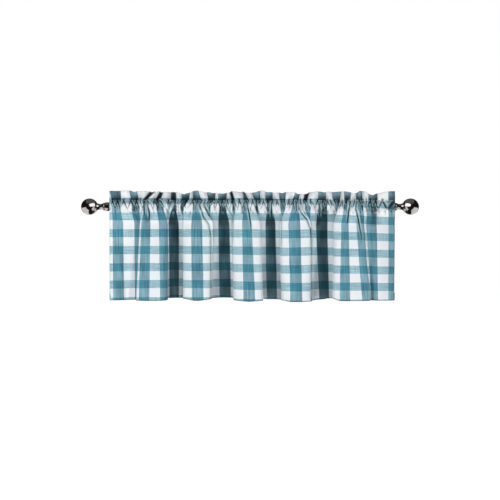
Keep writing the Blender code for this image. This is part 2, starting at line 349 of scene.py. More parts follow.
# The height under the header seam over which the cloth turns from facing straight
# forward to facing square to itself
SEAM_TURN = 7.0 * MM

# The header's frill along its top, and the width of one of its small waves in stripes
HEADER_FRILL = 2.0 * MM
HEADER_FRILL_STRIPES = 0.45

# Shade painted on the cloth for each millimetre of depth of a pucker and of a crease
PUCKER_SHADE = 0.9
CREASE_SHADE = 0.3

# Shade at the header's foot, what blue stripes get on top of it, its height, and the
# shade of blue stripes and of stripes tucked deeper than a depth
HEADER_FOOT_SHADE = 0.42
HEADER_FOOT_BLUE = 1.2
HEADER_FOOT = 26.0 * MM
HEADER_BLUE_SHADE = 0.2
GATHERED_BLUE_SHADE = 0.8
TUCKED_SHADE = 1.2
TUCKED_DEPTH = 12.0 * MM

# Shade of the blue stripes in the deep troughs at some heights, and where a trough
# begins and how far it takes to be a full one, as shares of the folds' depth
TROUGH_SHADE_HEIGHTS = (-304 * MM, -140 * MM, -80 * MM, -25 * MM, 0.0, 18 * MM)
TROUGH_SHADE = (0.8, 0.95, 1.1, 1.2, 0.6, 0.0)
TROUGH_START = 0.55
TROUGH_REACH = 0.3

# The painted shade along the header seam's groove, a dark line: its width, its strength, how much of it the
# puckers hide, and what blue stripes get on top
SEAM_LINE_WIDTH = 2.0 * MM
SEAM_LINE_SHADE = 0.7
SEAM_LINE_HIDDEN = 1.1
SEAM_LINE_BLUE = 0.25

# The painted highlight beside a pucker's groove: where it lies and how wide it is, as shares of the groove's
# width, and how strong it is on average and how that wanders
RIM_PLACE = 1.0
RIM_WIDTH = 0.2
RIM_STRIPES = 0.8
RIM_MEAN = 0.65
RIM_CHANGE = 0.6

# The painted highlights beside a crease or along a ridge, as shares of the crease's width, and the depth at
# which they are full
CREASE_RIM_PLACE = 1.25
CREASE_RIM_WIDTH = 0.4
CREASE_FULL = 6.0 * MM

# Soft waves of the hanging cloth, highest under the pocket
WAVE_HEIGHT_TOP = 1.6 * MM
WAVE_HEIGHT_HEM = 0.7 * MM
WAVE_STRIPES = 0.75
WAVE_LENGTH = 150.0 * MM
WAVE_START = 20.0 * MM

# Uneven ripples of the gathered cloth, down to just under the pocket, and the shade painted for each
# millimetre of their height
RIPPLE_HEIGHT = 2.2 * MM
RIPPLE_STRIPES = 0.55
RIPPLE_LENGTH = 26.0 * MM
RIPPLE_END = 70.0 * MM
RIPPLE_SHADE = 0.3

# How far the woven rows have slipped down, across the cloth, under the seam and at the hem
ROW_SLIP_STRIPES = (0.0, 2.0, 6.0, 13.0, 17.0, 20.5, 28.5, 31.0, 36.0, 39.0, 43.5)
ROW_SLIP_TOP = (0.0, 0.0, 0.0, 0.0, 0.0, 0.0, 3.0, 0.0, 8.0, 10.0, 16.0)
ROW_SLIP_HEM = (3.0, 3.0, 0.0, 0.0, 2.0, 6.0, 11.0, 13.0, 8.0, 8.0, 9.0)

# Rows and columns of the cloth's mesh, how much closer rows stand at a seam, and the gap
# between the layers of a hem
COLUMNS_PER_STRIPE = 12
SIDE_HEM_COLUMNS = 3
FACING_ROWS = 9
HEADER_BACK_ROWS = 6
HEADER_FRONT_ROWS = 10
FOLD_OVER_ROWS = 3
POCKET_ROWS = 16
DROP_ROWS = 42
SEAM_EASE = 1.5
HEM_RETURN_ROWS = 5
HEM_LAYER_GAP = 1.3 * MM

# The finials' ball and neck, as radii and as distances from the ball's centre
BALL_CENTRE = 531.0 * MM
BALL_RADIUS = 27.5 * MM
BALL_FLAT = 24.0 * MM
NECK_FLANGE_RADIUS = 12.0 * MM
NECK_WAIST_RADIUS = 9.5 * MM
NECK_BEAD_RADIUS = 13.2 * MM
NECK_COLLAR_RADIUS = 14.8 * MM
NECK_END = 69.7 * MM
FIT_GAP = 0.3 * MM
TURN_STEPS = 96
BALL_ARC_STEPS = 60

# The woven rows: their repeat, the blue part of it, the middle of one blue row measured
# down from the header seam, and the soft edge of a stripe or a row
ROW_REPEAT = 55.3 * MM
ROW_BLUE = 26.2 * MM
ROW_MIDDLE = 6.3 * MM
STRIPE_EDGE = 0.7 * MM

# How far the edges of stripes and rows wander, and the size of one such wave
EDGE_WANDER = 0.8 * MM
EDGE_WANDER_WIDTH = 9 * MM
EDGE_WANDER_LENGTH = 30 * MM

# Slubs, the streaks of uneven yarn: across and along the cloth, in the warp and in the
# weft. Narrower streaks would not show, so they are drawn this wide. Then the darkest and
# lightest tone they give, and how much of them runs down the warp on white and on blue
WARP_SLUB_WIDTH = 2.6 * MM
WARP_SLUB_LENGTH = 90 * MM
WEFT_SLUB_LENGTH = 60 * MM
WEFT_SLUB_WIDTH = 2.2 * MM
SLUB_DARK = 0.6
SLUB_LIGHT = 1.3
WARP_SHARE_ON_WHITE = 0.4
WARP_SHARE_ON_BLUE = 0.8

# The painted light of a deep groove, a flat place and the highest place, the factor that makes a flat place's
# light 1, and how much of the painted shade white yarn takes
GROOVE_LIGHT = 0.07
FLAT_LIGHT = 0.8
CREST_LIGHT = 0.95
EVEN_LIGHT = 1 / FLAT_LIGHT
WHITE_SHADE_SHARE = 0.8

# The tone of the painted highlights, how strong they are and how bright the cloth may get
HIGHLIGHT_TONE = "#C6E6EC"
HIGHLIGHT_STRENGTH = 0.85
BRIGHTEST = (0.9, 0.9, 0.9)

# The weave's relief: its pitch, which is coarser than the real yarns because they would
# not show, its height and that of the slubs beside it
WEAVE_PITCH = 1.4 * MM
WEAVE_HEIGHT = 0.12 * MM
SLUB_RELIEF = 3.0

# Each kind of unevenness adds its own small number to this seed
NOISE_SEED = 7


def linear(hex_colour):
    """An sRGB hex value as linear red, green, blue and alpha."""
    values = np.array([int(hex_colour[i:i + 2], 16) for i in (1, 3, 5)]) / 255
    low = values / 12.92
    high = ((values + 0.055) / 1.055) ** 2.4
    return (*np.where(values <= 0.04045, low, high).tolist(), 1.0)


def add_node(tree, kind, inputs=None, **settings):
    """Adds one shader node; inputs holds its sockets' values, or the sockets they come from."""
    node = tree.nodes.new(kind)
    for name, value in settings.items():
        setattr(node, name, value)
    for name, value in (inputs or {}).items():
        if isinstance(value, bpy.types.NodeSocket):
            tree.links.new(value, node.inputs[name])
        else:
            node.inputs[name].default_value = value
    return node


def smoothstep(value):
    """0 below 0, 1 above 1, and 3t^2 - 2t^3 between."""
    t = np.clip(value, 0.0, 1.0)
    return t * t * (3 - 2 * t)


def soften(values, passes):
    """Each value along the last axis replaced by a quarter, half and quarter of three."""
    for _ in range(passes):
        middle = (values[..., :-2] + 2 * values[..., 1:-1] + values[..., 2:]) / 4
        values = np.concatenate((values[..., :1], middle, values[..., -1:]), axis=-1)
    return values


def value_noise(across, along, seed):
    """Smooth noise from -1 to 1 with cells one unit wide.

    Random values stand on whole numbers, and smoothstep weights join the four around
    each point.
    """
    across, along = np.broadcast_arrays(across, along)
    column = np.floor(across).astype(int)
    row = np.floor(along).astype(int)
    column -= column.min()
    row -= row.min()
    values = np.random.default_rng(seed).uniform(-1, 1, (row.max() + 2, column.max() + 2))
    right = smoothstep(across - np.floor(across))
    below = smoothstep(along - np.floor(along))
    upper = values[row, column] * (1 - right) + values[row, column + 1] * right
    lower = values[row + 1, column] * (1 - right) + values[row + 1, column + 1] * right
    return upper * (1 - below) + lower * below


def curve_through(points, steps, ease=1.0):
    """A Catmull-Rom curve through points, sampled along its length.

    The samples stand evenly, or closer together at the start for an ease above 1: each
    one's share of the length is its even share raised to that power.
    """
    points = np.asarray(points, float)
    padded = np.concatenate((2 * points[:1] - points[1:2], points, 2 * points[-1:] - points[-2:-1]))
    t = np.linspace(0, 1, CURVE_STEPS)[None, :, None]
    before, start, end, after = (padded[i:len(padded) - 3 + i, None, :] for i in range(4))
    line = 0.5 * (
        2 * start
        + (end - before) * t
        + (2 * before - 5 * start + 4 * end - after) * t ** 2
        + (3 * start - 3 * end + after - before) * t ** 3
    ).reshape(-1, points.shape[1])
    length = running_length(line)
    wanted = length[-1] * np.linspace(0, 1, steps) ** ease
    return np.stack([np.interp(wanted, length, part) for part in line.T], axis=1)


def running_length(points):
    """Length along a line of points, from its first point."""
    pieces = np.linalg.norm(np.diff(points, axis=0), axis=1)
    return np.concatenate(([0.0], np.cumsum(pieces)))


def bezier(start, end, handle, steps=120):
    """Cubic curve between two turns of the cloth, level in Y at both ends."""
    t = np.linspace(0.0, 1.0, steps)[:, None]
    first = start + np.array([handle, 0.0])
    last = end - np.array([handle, 0.0])
    return (
        (1 - t) ** 3 * start
        + 3 * (1 - t) ** 2 * t * first
        + 3 * (1 - t) * t ** 2 * last
        + t ** 3 * end
    )


def bend_of_length(start, end, length):
    """The curve between two turns that is as long as the cloth between them."""
    low = 0.0
    high = (end[0] - start[0]) / 2 + LONGEST_HANDLE * abs(end[1] - start[1])
    for _ in range(LENGTH_SEARCH_STEPS):
        handle = (low + high) / 2
        if running_length(bezier(start, end, handle))[-1] < length:
            low = handle
        else:
            high = handle
    return bezier(start, end, low)


def fold_plan(stripes, seen_x, half_depth, gathered):
    """X and Y of the hanging folds at one height, as in the solid.

    seen_x names the Fold column with the places seen from the front. Between two turns
    the cloth follows a cubic curve of its own length, or of the share that is gathered
    into the folds there.
    """
    x = np.empty_like(stripes)
    y = np.empty_like(stripes)
    for left, right in zip(FOLDS[:-1], FOLDS[1:]):
        ends = []
        for fold in (left, right):
            depth = fold.level * half_depth
            ends.append(np.array([getattr(fold, seen_x) * MM * (1 + depth / EYE_DISTANCE), depth]))
        straight = np.hypot(*(ends[1] - ends[0]))
        cloth = (right.stripe - left.stripe) * STRIPE_WIDTH
        length = straight + max(cloth - straight, 0.0) * gathered
        curve = bend_of_length(ends[0], ends[1], length)
        share = running_length(curve)
        share /= share[-1]
        here = (stripes >= left.stripe) & (stripes <= right.stripe)
        place = (stripes[here] - left.stripe) / (right.stripe - left.stripe)
        x[here] = np.interp(place, share, curve[:, 0])
        y[here] = np.interp(place, share, curve[:, 1])
    return x, y


def gathered_plan(stripes):
    """Header x, pocket x, lean, depth and crown of the gathered cloth, for each column.

    Edges are joined by straight lines and then softened. A stripe's depth is a half
    sine between its edges, so white ones swell forward and blue ones tuck back.
    """
    edges = np.concatenate(([FIRST_STRIPE], np.arange(1, len(STRIPES)), [LAST_STRIPE]))
    middles = (edges[:-1] + edges[1:]) / 2
    header = np.array([row.header for row in STRIPES] + [GATHERED_RIGHT_X]) * MM
    pocket = np.array([row.pocket for row in STRIPES] + [GATHERED_RIGHT_X]) * MM
    lean = np.array([row.lean for row in STRIPES] + [0]) * MM
    depth = np.array([row.depth for row in STRIPES]) * MM
    crown = np.array([row.crown for row in STRIPES]) * MM
    number = np.clip(np.searchsorted(edges, stripes, side="right") - 1, 0, len(STRIPES) - 1)
    along = (stripes - edges[number]) / (edges[number + 1] - edges[number])
    plan = {
        "header": soften(np.interp(stripes, edges, header), 2),
        "pocket": soften(np.interp(stripes, edges, pocket), 2),
        "lean": soften(np.interp(stripes, edges, lean), 4),
        "depth": soften(depth[number] * np.sin(np.pi * along), 2),
        "crown": soften(np.interp(stripes, middles, crown), 4),
        "tucked": soften((depth[number] > TUCKED_DEPTH).astype(float), 1),
    }
    return plan


def cloth_path():
    """The cloth's way from the facing's end behind the rod to the hem's turned-in edge.

    For each row: its height, the share of the crown's height that it takes, the extra
    height over the top fold, its distance from the plane between the layers, its place
    along the cloth from the header seam, its share of the front's creases, and the
    number of hem layers in front of it.
    """
    front = curve_through(np.array(POCKET_FRONT) * (MM, -MM), POCKET_ROWS, SEAM_EASE)
    back = curve_through(np.array(POCKET_BACK) * (MM, -MM), FACING_ROWS)
    rows = []

    def add_rows(count, height, crown, extra, wall, place, creased, hem_layer):
        columns = (height, crown, extra, wall, place, creased, hem_layer)
        rows.append(np.stack([np.broadcast_to(part, count) for part in columns], axis=1))

    def seam_wall(crown):
        clear = smoothstep(crown * HEADER_LENGTH / SEAM_PINCH_REACH)
        return SEAM_HALF_GAP + (LAYER_HALF_GAP - SEAM_HALF_GAP) * clear

    header_start = -2 * HEADER_LENGTH
    place = np.linspace(header_start - FACING_LENGTH, header_start, FACING_ROWS)
    add_rows(FACING_ROWS, back[:, 0], 0, 0, back[:, 1], place, 0, 0)
    up = np.linspace(0, 1, HEADER_BACK_ROWS + 1)[1:]
    place = header_start + up * HEADER_LENGTH
    add_rows(HEADER_BACK_ROWS, HEADER_SEAM_Z, up, 0, seam_wall(up), place, up, 0)
    turn = np.pi * np.arange(1, FOLD_OVER_ROWS + 1) / (FOLD_OVER_ROWS + 1)
    add_rows(
        FOLD_OVER_ROWS, HEADER_SEAM_Z, 1, LAYER_HALF_GAP * np.sin(turn),
        LAYER_HALF_GAP * np.cos(turn), -HEADER_LENGTH, 1, 0,
    )
    down = np.linspace(1, 0, HEADER_FRONT_ROWS + 1)[:-1] ** SEAM_EASE
    add_rows(HEADER_FRONT_ROWS, HEADER_SEAM_Z, down, 0, -seam_wall(down), -down * HEADER_LENGTH, 1, 0)
    place = POCKET_LENGTH * np.linspace(0, 1, POCKET_ROWS) ** SEAM_EASE
    add_rows(POCKET_ROWS, front[:, 0], 0, 0, front[:, 1], place, 1, 0)
    height = np.linspace(LOWER_SEAM_Z, HEM_Z, DROP_ROWS + 1)[1:]
    place = POCKET_LENGTH + LOWER_SEAM_Z - height
    fallen = smoothstep((LOWER_SEAM_Z - height) / DROP_FALLS_BACK)
    wall = -DROP_START + (DROP_START - SEAM_HALF_GAP) * fallen
    add_rows(DROP_ROWS, height, 0, 0, wall, place, 1, 0)
    rise = np.linspace(0, HEM_DEPTH, HEM_RETURN_ROWS + 1)[1:]
    add_rows(HEM_RETURN_ROWS, HEM_Z + rise, 0, 0, -SEAM_HALF_GAP, place[-1] + rise, 1, 1)
    return np.concatenate(rows)


def cloth_columns():
    """Places across the cloth in stripes, and the number of side hem layers in front.

    The cloth turns back on itself at both side edges.
    """
    main = np.linspace(FIRST_STRIPE, LAST_STRIPE, int((LAST_STRIPE - FIRST_STRIPE) * COLUMNS_PER_STRIPE))
    turned = np.linspace(0, SIDE_HEM / STRIPE_WIDTH, SIDE_HEM_COLUMNS + 1)[1:]
    stripes = np.concatenate((FIRST_STRIPE + turned[::-1], main, LAST_STRIPE - turned))
    layer = np.concatenate((np.ones(SIDE_HEM_COLUMNS), np.zeros(len(main)), np.ones(SIDE_HEM_COLUMNS)))
    return stripes, layer


def puckers(stripes, height, seam_z, fade_up, fade_down, seed):
    """Small pillows between slanting creases around a seam, and the painted highlights beside them.

    Two families of creases start together at the seam and slant to either side. Each is the size of a sine,
    and the lower of the two shows; smoothstep of it over the groove's width is the pillow, and a bell where
    the groove ends is the painted highlight. The pitch and the reach wander, and both fade above and below
    the seam.
    """
    wander = value_noise(stripes * PUCKER_WANDER_RATE, 0.0, seed)
    away = np.abs(seam_z - height)
    turns = stripes / PUCKER_PITCH + PUCKER_WANDER * wander
    left = np.abs(np.sin(np.pi * (turns + away / PUCKER_SLANT_HEIGHT)))
    right = np.abs(np.sin(np.pi * (turns - away / PUCKER_SLANT_HEIGHT)))
    groove = PUCKER_GROOVE - (PUCKER_GROOVE - PUCKER_GROOVE_FAR) * smoothstep(away / PUCKER_SLANT_HEIGHT)
    from_groove = np.minimum(left, right) / groove
    pillow = smoothstep(from_groove)
    # A bell of painted highlight where the groove ends
    rim_highlight = np.exp(-(((from_groove - RIM_PLACE) / RIM_WIDTH) ** 2))
    uneven = value_noise(stripes / RIM_STRIPES, height / RIPPLE_LENGTH, seed + 2)
    rim_highlight = rim_highlight * np.clip(RIM_MEAN + RIM_CHANGE * uneven, 0, 1)
    reach = np.where(height > seam_z, fade_up, fade_down)
    reach_noise = value_noise(stripes * PUCKER_REACH_RATE, 0.0, seed + 1)
    reach = reach * (PUCKER_REACH_MEAN + PUCKER_REACH_CHANGE * reach_noise)
    fade = 1 - smoothstep((away - PUCKER_FULL * reach) / ((1 - PUCKER_FULL) * reach))
    return (pillow - PUCKER_MEAN) * fade, rim_highlight * fade


def crease_depth(x, z):
    """Sums of the creases' depth and of their painted highlights, where seen at x and z.

    Each crease is a line of straight pieces; its depth runs evenly from point to point and falls off with the
    square of the distance as a bell. A painted highlight is a narrower bell, on either side of a trough or
    along the middle of a ridge.
    """
    total = np.zeros_like(x)
    highlights = np.zeros_like(x)
    for crease in CREASES:
        nearest = np.full_like(x, np.inf)
        depth = np.zeros_like(x)
        points = np.array(crease.line) * MM
        for start, end in zip(points[:-1], points[1:]):
            step = end[:2] - start[:2]
            along = ((x - start[0]) * step[0] + (z - start[1]) * step[1]) / (step @ step)
            along = np.clip(along, 0, 1)
            away = np.hypot(x - start[0] - along * step[0], z - start[1] - along * step[1])
            closer = away < nearest
            nearest = np.where(closer, away, nearest)
            depth = np.where(closer, start[2] + along * (end[2] - start[2]), depth)
        away = nearest / (crease.width * MM)
        total += depth * np.exp(-(away ** 2))
        # Painted highlights on either side of a trough, or along the middle of a ridge
        beside = np.exp(-(((away - CREASE_RIM_PLACE) / CREASE_RIM_WIDTH) ** 2))
        along_ridge = np.exp(-((away / CREASE_RIM_WIDTH) ** 2))
        highlights += np.where(depth > 0, beside, along_ridge) * np.abs(depth) / CREASE_FULL
    return total, highlights


def soft_shadows(stripes, z):
    """Sum of the painted shadows and painted light: a bell across the cloth, with soft ends up and down."""
    total = np.zeros_like(z)
    for shadow in SHADOWS:
        across = np.exp(-(((stripes - shadow.stripe) / shadow.reach) ** 2))
        below = smoothstep((shadow.top * MM - z) / SHADOW_SOFTNESS + 0.5)
        above = smoothstep((z - shadow.bottom * MM) / SHADOW_SOFTNESS + 0.5)
        total += shadow.strength * across * below * above
    return total


def cloth_surface():
    """Points of the whole cloth in rows and columns, its flat places, painted shade and painted highlights.

    Above the lower seam the cloth follows the gathered plan, and below the height where the folds are formed
    it follows the fold plans, with a smooth change between. The puckers, soft waves, ripples and creases move
    it along its normal. The painted shade is the hyperbolic tangent of the sum of all depths and painted
    shadows; the painted highlights run from 0 to 1. Both belong to the cloth.
    """
    stripes, side_layer = cloth_columns()
    order = np.argsort(stripes, kind="stable")
    back_again = np.argsort(order, kind="stable")
    plan = {key: value[back_again] for key, value in gathered_plan(stripes[order]).items()}
    top = fold_plan(stripes, "top_x", FOLD_HALF_DEPTH_TOP, GATHER_AT_TOP)
    hem = fold_plan(stripes, "hem_x", FOLD_HALF_DEPTH_HEM, 1.0)
    height, crown_share, extra, wall, place, creased, hem_layer = cloth_path().T[:, :, None]
    sag = LOWEST_FOLD_SAG * np.exp(-(((stripes - LOWEST_FOLD_STRIPE) / LOWEST_FOLD_SPREAD) ** 2))
    down = np.clip((height - FOLDS_FORMED_Z) / (HEM_Z - FOLDS_FORMED_Z), 0, 1)
    sag += RIDGE_DROOP * (1 - hem[1] / FOLD_HALF_DEPTH_HEM) / 2

    # Seen from the front the hem is one smooth wave, also where the folds turn back
    nearness = 1 + hem[1] / EYE_DISTANCE
    seen_hem = soften((HEM_Z - sag - EYE_HEIGHT) / nearness, HEM_SMOOTHING)
    sag = HEM_Z - EYE_HEIGHT - seen_hem * nearness - np.interp(stripes, *np.array(HEM_LIFTS).T) * MM
    frill = HEADER_FRILL * value_noise(stripes / HEADER_FRILL_STRIPES, 0.0, NOISE_SEED + 17)
    z = height + crown_share * (plan["crown"] - HEADER_SEAM_Z + frill) + extra - sag * down

    # Across: header and its lean, then the pocket, then the folds
    to_pocket = smoothstep((HEADER_SEAM_Z - height) / HEADER_SEAM_Z)
    to_folds = smoothstep(-height / -FOLDS_FORMED_Z)
    header_x = plan["header"] + plan["lean"] * (z - HEADER_MIDDLE_Z) / HEADER_LENGTH
    seam_lean = plan["lean"] * (HEADER_SEAM_Z - HEADER_MIDDLE_Z) / HEADER_LENGTH
    header_x = np.where(crown_share > 0, header_x, plan["header"] + seam_lean)
    gathered_x = (1 - to_pocket) * header_x + to_pocket * plan["pocket"]
    edges, top_shift, hem_shift = np.array(SHIFTS).T
    top_shift = np.interp(stripes, edges, top_shift) * MM
    hem_shift = np.interp(stripes, edges, hem_shift) * MM
    fold_x = (1 - down) * (top[0] + top_shift) + down * (hem[0] + hem_shift)
    fold_y = (1 - down) * top[1] + down * hem[1]

    # In depth: the pleats fade out as the folds take over
    share = np.interp(height, SHARE_HEIGHTS, FOLD_SHARE)
    scale = np.interp(height, SHARE_HEIGHTS, PLEAT_SHARE)
    pleat_y = (1 - share) * scale * plan["depth"]
    y = pleat_y + share * fold_y + wall
    gathered_seen = gathered_x * (1 + y / EYE_DISTANCE)
    x = (1 - to_folds) * gathered_seen + to_folds * fold_x

    # Puckers, soft waves and creases stand out from the cloth, square to it
    smooth_cloth = np.stack([x, y, z], axis=2)
    outward = -sheet_normals(smooth_cloth, side_layer, hem_layer)
    upper, rim_highlight = puckers(stripes, z, HEADER_SEAM_Z, PUCKER_FADE_UP, PUCKER_FADE_DOWN, NOISE_SEED)
    lower, _ = puckers(
        stripes + LOWER_PUCKER_SHIFT, z, LOWER_SEAM_Z, LOWER_PUCKER_FADE, LOWER_PUCKER_FADE, NOISE_SEED + 5,
    )
    wave_height = WAVE_HEIGHT_HEM + (WAVE_HEIGHT_TOP - WAVE_HEIGHT_HEM) * (1 - down)
    wave_height = wave_height * smoothstep((LOWER_SEAM_Z - height) / WAVE_START)
    waves = value_noise(stripes / WAVE_STRIPES, z / WAVE_LENGTH, NOISE_SEED + 9)
    creases, crease_highlights = crease_depth(x / (1 + y / EYE_DISTANCE), z)
    ripples = value_noise(stripes / RIPPLE_STRIPES, z / RIPPLE_LENGTH, NOISE_SEED + 13)
    ripple_height = RIPPLE_HEIGHT * (1 - smoothstep(-height / RIPPLE_END))
    raised = PUCKER_HEIGHT * upper + LOWER_PUCKER_HEIGHT * lower + wave_height * waves
    raised += ripple_height * ripples - creased * creases
    in_header = crown_share > 0
    behind = place < -HEADER_LENGTH
    turned = smoothstep((HEADER_SEAM_Z - height) / SEAM_TURN)[:, :, None]
    forward = np.where(behind, 1.0, -1.0)[:, :, None] * np.array([0.0, 1.0, 0.0])
    direction = (1 - turned) * forward + turned * outward
    direction = direction / np.linalg.norm(direction, axis=2, keepdims=True)
    points = smooth_cloth + direction * (np.where(behind, -raised, raised))[:, :, None]

    # Grooves are painted darker than their relief alone would make them
    shade = (
        creased * creases * CREASE_SHADE
        - ripple_height * ripples * RIPPLE_SHADE
        + PUCKER_HEIGHT * np.maximum(-upper, 0) * PUCKER_SHADE
        - LOWER_PUCKER_HEIGHT * lower * PUCKER_SHADE
    ) / MM
    in_blue = np.floor(stripes) % 2
    near_foot = 1 - smoothstep((z - HEADER_SEAM_Z) / HEADER_FOOT)
    foot = (HEADER_FOOT_SHADE + HEADER_FOOT_BLUE * in_blue) * near_foot
    shade += in_header * (foot + TUCKED_SHADE * plan["tucked"]) + soft_shadows(stripes, z) * ~behind
    # Painted shade that rounds each blue stripe, lighter on its left and darker on its right
    rounding_shade = value_noise(np.floor(stripes), 0.0, NOISE_SEED + 21) * 0.5 + 0.5
    mottle = value_noise(stripes / MOTTLE_STRIPES, z / MOTTLE_LENGTH, NOISE_SEED + 23)
    gathered = smoothstep((height - LOWER_SEAM_Z) / SHADOW_SOFTNESS) * ~in_header
    shade += in_blue * (GATHERED_BLUE_SHADE * gathered + HEADER_BLUE_SHADE * in_header)
    shade += in_blue * (ROUNDING_SHADE * rounding_shade * (2 * (stripes % 1) - 1) + MOTTLE_SHADE * mottle)
    # Painted highlights beside the puckers' grooves and along the creases
    crest = np.clip(rim_highlight * (~in_header) + creased * crease_highlights, 0, 1) * ~behind
    trough = smoothstep((top[1] / FOLD_HALF_DEPTH_TOP - TROUGH_START) / TROUGH_REACH) * in_blue
    under_pocket = np.interp(height, TROUGH_SHADE_HEIGHTS, TROUGH_SHADE)
    shade = np.tanh(shade + trough * under_pocket)
    # Painted shade along the groove of the header seam
    line_strength = SEAM_LINE_SHADE - SEAM_LINE_HIDDEN * upper + SEAM_LINE_BLUE * in_blue
    seam_shade = np.clip(np.exp(-((place / SEAM_LINE_WIDTH) ** 2)) * line_strength, 0, 1)
    shade = shade + (1 - shade) * seam_shade * ~behind

    # The pocket swells over the rod and never enters it
    from_axis = np.hypot(points[:, :, 1], points[:, :, 2])
    clear = CORE_RADIUS + CORE_SOFTNESS * np.logaddexp(0, (from_axis - CORE_RADIUS) / CORE_SOFTNESS)
    in_pocket = (height >= LOWER_SEAM_Z) & (height <= HEADER_SEAM_Z) & ~in_header
    front_side = np.where(wall > 0, 1.0, -1.0)
    depth = np.where(in_pocket & (np.abs(z) < CORE_RADIUS),
                     front_side * np.maximum(front_side * points[:, :, 1], 0.0), points[:, :, 1])
    points[:, :, 1] = depth
    from_axis = np.maximum(np.hypot(depth, points[:, :, 2]), 1e-6)
    scale = np.where(in_pocket, clear / from_axis, 1.0)
    points[:, :, 1:] *= scale[:, :, None]

    # Turned-in edges lie behind the cloth, one layer gap for each layer in front
    near_side = smoothstep(1 - (np.minimum(stripes - FIRST_STRIPE, LAST_STRIPE - stripes)
                                * STRIPE_WIDTH - SIDE_HEM) / SIDE_HEM)
    layers = np.where(
        hem_layer > 0,
        np.where(side_layer > 0, 2.0, 1.0 + 2.0 * near_side),
        side_layer,
    )
    normal = sheet_normals(points, side_layer, hem_layer)
    points = points + normal * (layers * HEM_LAYER_GAP)[:, :, None]

    slip_top = np.interp(stripes, ROW_SLIP_STRIPES, ROW_SLIP_TOP) * MM
    slip_hem = np.interp(stripes, ROW_SLIP_STRIPES, ROW_SLIP_HEM) * MM
    slip = (slip_top + (slip_hem - slip_top) * down) * (1 - crown_share)
    across = np.broadcast_to(stripes * STRIPE_WIDTH, x.shape)
    along = np.broadcast_to(place, x.shape) + sag * down - slip
    return points, np.stack([across, along], axis=2), shade, crest


def sheet_normals(points, side_layer, hem_layer):
    """Unit normals of the cloth, pointing to its back in the hanging part.

    The cross product of the steps along rows and columns; both steps turn round on the
    turned-in edges, so the sign is put right there.
    """
    across = np.gradient(points, axis=1)
    along = np.gradient(points, axis=0)
    normal = np.cross(across, along)
    length = np.linalg.norm(normal, axis=2, keepdims=True)
    normal = normal / np.maximum(length, 1e-9)
    sign = np.where(side_layer > 0, -1.0, 1.0) * np.where(hem_layer > 0, -1.0, 1.0)
    return normal * sign[:, :, None]


def grid_faces(rows, columns):
    """Quads of a grid of points numbered row by row."""
    corner = (np.arange(rows - 1)[:, None] * columns + np.arange(columns - 1)[None, :]).ravel()
    return np.stack([corner, corner + columns, corner + columns + 1, corner + 1], axis=1)


def new_piece(name, points, faces, material, node_names=()):
    """A mesh object from arrays of points and faces, riding on the part's one body."""
    mesh = bpy.data.meshes.new(name)
    mesh.from_pydata(points.reshape(-1, 3).tolist(), [], [face.tolist() for face in faces])
    mesh.update()
    mesh.shade_smooth()
    mesh.materials.append(material)
    piece = bpy.data.objects.new(name, mesh)
    bpy.context.scene.collection.objects.link(piece)
    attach(piece, "root")
    if node_names:
        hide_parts(*node_names)
    return piece


def store_uv(mesh, flat):
    """Puts the flat places of the points into the UV map named cloth."""
    corners = np.empty(len(mesh.loops), np.int32)
    mesh.loops.foreach_get("vertex_index", corners)
    layer = mesh.uv_layers.new(name="cloth")
    layer.uv.foreach_set("vector", flat.reshape(-1, 2)[corners].astype(np.float32).ravel())


def make_cloth(settings):
    """The valance: one thin sheet, turned in at the sides and the hem."""
    points, flat, shade, crest = cloth_surface()
    rows, columns = points.shape[:2]
    material = gingham_material(settings)
    cloth = new_piece(
        "gingham_cloth", points, grid_faces(rows, columns), material, ["valance_panel"]
    )
    store_uv(cloth.data, flat)
    # The painted shade goes to the attribute groove, and the painted highlights to their own attribute
    for name, values in (("groove", shade), ("crest", crest)):
        layer = cloth.data.attributes.new(name, "FLOAT", "POINT")
        layer.data.foreach_set("value", values.astype(np.float32).ravel())
    shell = cloth.modifiers.new("cloth thickness", "SOLIDIFY")
    shell.thickness = settings.thickness
    shell.offset = 0.0
    shell.use_rim = True
    return cloth


def stripe_mask(tree, across):
    """1 on blue warp and 0 on white: the sign of a sine, with a soft edge a few threads wide."""
    wave = add_node(tree, "ShaderNodeMath", {0: across, 1: math.pi / STRIPE_WIDTH}, operation="MULTIPLY")
    wave = add_node(tree, "ShaderNodeMath", {0: wave.outputs[0]}, operation="SINE")
    edge = math.sin(math.pi * STRIPE_EDGE / STRIPE_WIDTH)
    mask = add_node(tree, "ShaderNodeMapRange", {
        "Value": wave.outputs[0], "From Min": edge, "From Max": -edge, "To Min": 0.0, "To Max": 1.0,
    }, interpolation_type="SMOOTHSTEP")
    return mask.outputs[0]


def row_mask(tree, along):
    """1 on blue weft and 0 on white: a cosine cut at the height that gives the blue width."""
    turn = 2 * math.pi / ROW_REPEAT
    phase = add_node(tree, "ShaderNodeMath", {0: along, 1: ROW_MIDDLE}, operation="SUBTRACT")
    phase = add_node(tree, "ShaderNodeMath", {0: phase.outputs[0], 1: turn}, operation="MULTIPLY")
    wave = add_node(tree, "ShaderNodeMath", {0: phase.outputs[0]}, operation="COSINE")
    cut = math.cos(turn * ROW_BLUE / 2)
    edge = math.sin(turn * STRIPE_EDGE)
    mask = add_node(tree, "ShaderNodeMapRange", {
        "Value": wave.outputs[0], "From Min": cut - edge, "From Max": cut + edge,
        "To Min": 0.0, "To Max": 1.0,
    }, interpolation_type="SMOOTHSTEP")
    return mask.outputs[0]


def streaks(tree, flat, across_scale, along_scale, detail):
    """Noise drawn out along one thread direction, around 0.5."""
    mapping = add_node(tree, "ShaderNodeMapping", {
        "Vector": flat, "Scale": (1 / across_scale, 1 / along_scale, 1.0),
    })
    noise = add_node(tree, "ShaderNodeTexNoise", {
        "Vector": mapping.outputs[0], "Scale": 1.0, "Detail": detail, "Roughness": 0.6,
    }, noise_dimensions="2D")
    return noise.outputs[0]


